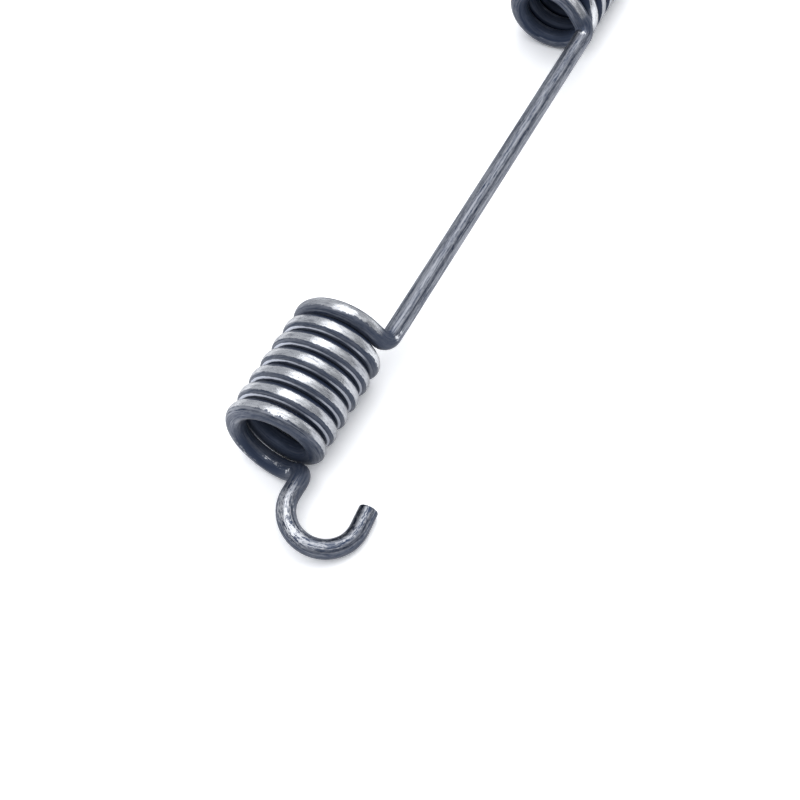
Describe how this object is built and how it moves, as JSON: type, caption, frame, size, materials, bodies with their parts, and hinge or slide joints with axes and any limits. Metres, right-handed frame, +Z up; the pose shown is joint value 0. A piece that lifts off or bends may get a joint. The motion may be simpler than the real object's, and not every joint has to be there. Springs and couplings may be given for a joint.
{
  "type": "double-coil return spring",
  "caption": "Return spring bent from one round steel wire: close-wound coils joined by a straight link beside them, with an open hook turned out at each end.",
  "frame": {"origin": "on the surface that the spring lies on, under the middle of its bounding box", "axes": "+X runs along the coils' shared axis and the link, +Z is up from the surface, and -Y is the side of the link and the hooks"},
  "size_m": [0.1366, 0.0254, 0.0154],
  "materials": {
    "spring_steel": "dark drawn spring steel with a soft sheen, fine lines along the wire, bright rubbed spots on the turns and tool marks at the bends"
  },
  "bodies": {
    "root": {"spring": "spring_steel"}
  },
  "joints": []
}
